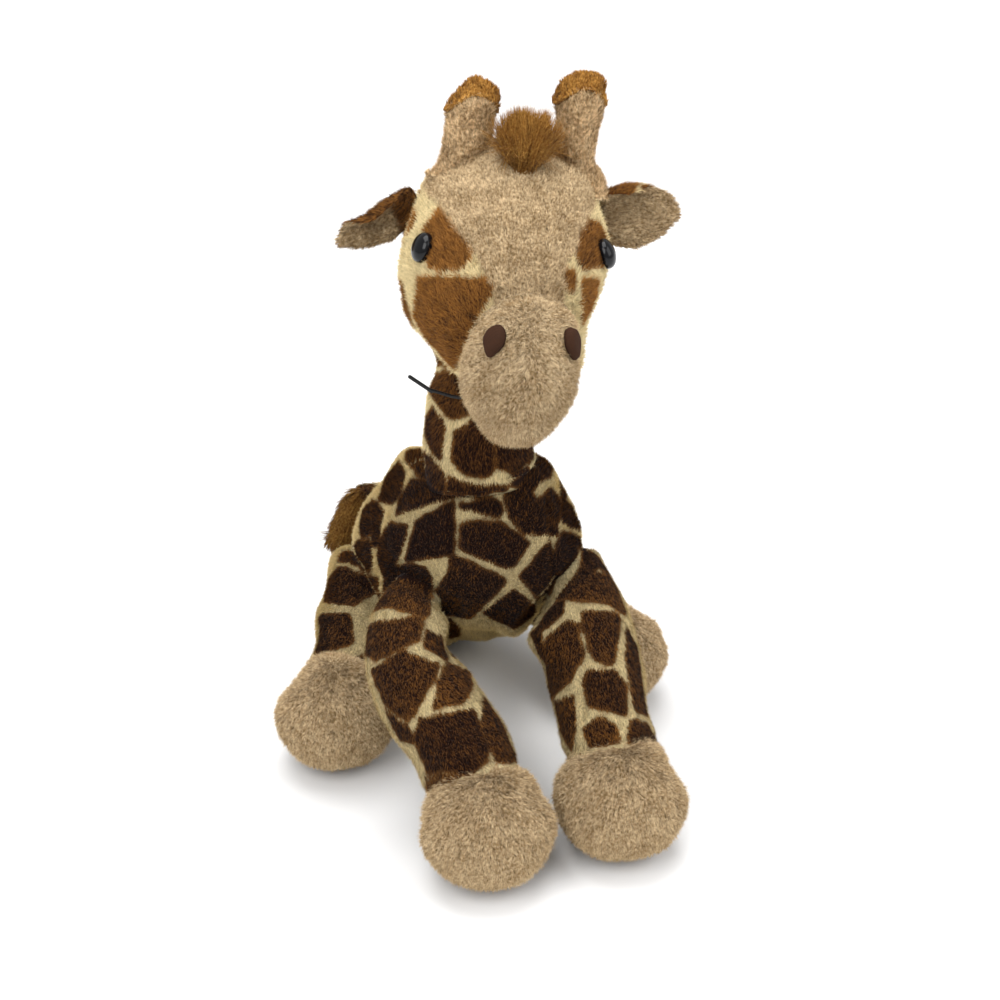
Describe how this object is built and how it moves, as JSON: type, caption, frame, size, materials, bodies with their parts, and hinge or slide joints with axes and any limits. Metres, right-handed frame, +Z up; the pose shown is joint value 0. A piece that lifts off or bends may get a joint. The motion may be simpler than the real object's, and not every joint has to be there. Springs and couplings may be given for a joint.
{
  "type": "plush giraffe",
  "caption": "Seated stuffed plush giraffe with a long neck, round hooves, stubby horns and plastic eyes; its neck, head, ears, legs and tail swing where they are sewn on.",
  "frame": {"origin": "middle of the flat that the weight presses under the rump, on the floor", "axes": "+Z up, -Y the way the giraffe's body faces, +X its own left"},
  "size_m": [0.1856, 0.245, 0.312],
  "materials": {
    "spotted_plush": "short-pile plush, brown patches on cream",
    "tan_plush": "short-pile tan plush",
    "gold_fur": "long golden brown fur",
    "nostril_cloth": "flat dark brown cloth",
    "eye_plastic": "glossy black",
    "fastener_plastic": "black nylon",
    "washer_plastic": "plain white plastic",
    "bag_cloth": "thin woven cloth over pellets"
  },
  "bodies": {
    "body": {"torso": "spotted_plush", "pellet_bag": "bag_cloth"},
    "neck": {"neck": "spotted_plush", "tag_fastener": "fastener_plastic"},
    "head": {"head": "spotted_plush", "muzzle": "tan_plush", "forelock": "gold_fur", "nostril_right": "nostril_cloth", "nostril_left": "nostril_cloth", "eye_right": "eye_plastic", "eye_left": "eye_plastic", "eye_washer_right": "washer_plastic", "eye_washer_left": "washer_plastic", "horn_right": "tan_plush", "horn_left": "tan_plush", "horn_cap_right": "gold_fur", "horn_cap_left": "gold_fur"},
    "ear_right": {"ear_right": "spotted_plush", "ear_lining_right": "tan_plush"},
    "ear_left": {"ear_left": "spotted_plush", "ear_lining_left": "tan_plush"},
    "front_leg_right": {"front_leg_right": "spotted_plush", "front_hoof_right": "tan_plush"},
    "front_leg_left": {"front_leg_left": "spotted_plush", "front_hoof_left": "tan_plush"},
    "hind_leg_right": {"hind_leg_right": "spotted_plush", "hind_hoof_right": "tan_plush"},
    "hind_leg_left": {"hind_leg_left": "spotted_plush", "hind_hoof_left": "tan_plush"},
    "tail": {"tail_stem": "spotted_plush", "tail_tuft": "gold_fur"}
  },
  "joints": [
    {"name": "neck_bend", "type": "hinge", "parent": "body", "child": "neck", "pos_m": [-0.003, -0.08562, 0.13287], "axis": [1, 0, 0], "range_deg": [-12, 12], "stiffness_Nm_per_rad": 2},
    {"name": "head_nod", "type": "hinge", "parent": "neck", "child": "head", "pos_m": [0.002, -0.09462, 0.22287], "axis": [1, 0, 0], "range_deg": [-12, 12], "stiffness_Nm_per_rad": 1.2},
    {"name": "ear_right_swing", "type": "hinge", "parent": "head", "child": "ear_right", "pos_m": [-0.02867, -0.08902, 0.26319], "axis": [0.1302, 0.1917, 0.9728], "range_deg": [-18, 18], "stiffness_Nm_per_rad": 0.05},
    {"name": "ear_left_swing", "type": "hinge", "parent": "head", "child": "ear_left", "pos_m": [0.03808, -0.09841, 0.25539], "axis": [0.1302, 0.1917, 0.9728], "range_deg": [-18, 18], "stiffness_Nm_per_rad": 0.05},
    {"name": "front_leg_right_swing", "type": "hinge", "parent": "body", "child": "front_leg_right", "pos_m": [-0.03575, -0.09575, 0.09301], "axis": [1, 0, 0], "range_deg": [-12, 12]},
    {"name": "front_leg_left_swing", "type": "hinge", "parent": "body", "child": "front_leg_left", "pos_m": [0.03575, -0.09575, 0.09301], "axis": [1, 0, 0], "range_deg": [-12, 12]},
    {"name": "hind_leg_right_swing", "type": "hinge", "parent": "body", "child": "hind_leg_right", "pos_m": [-0.03685, -0.0108, 0.04193], "axis": [0, 0, 1], "range_deg": [-10, 10]},
    {"name": "hind_leg_left_swing", "type": "hinge", "parent": "body", "child": "hind_leg_left", "pos_m": [0.03685, -0.0108, 0.04193], "axis": [0, 0, 1], "range_deg": [-10, 10]},
    {"name": "tail_swing", "type": "hinge", "parent": "body", "child": "tail", "pos_m": [-0.0038, 0.01687, 0.06054], "axis": [0, 0, 1], "range_deg": [-15, 4]}
  ]
}
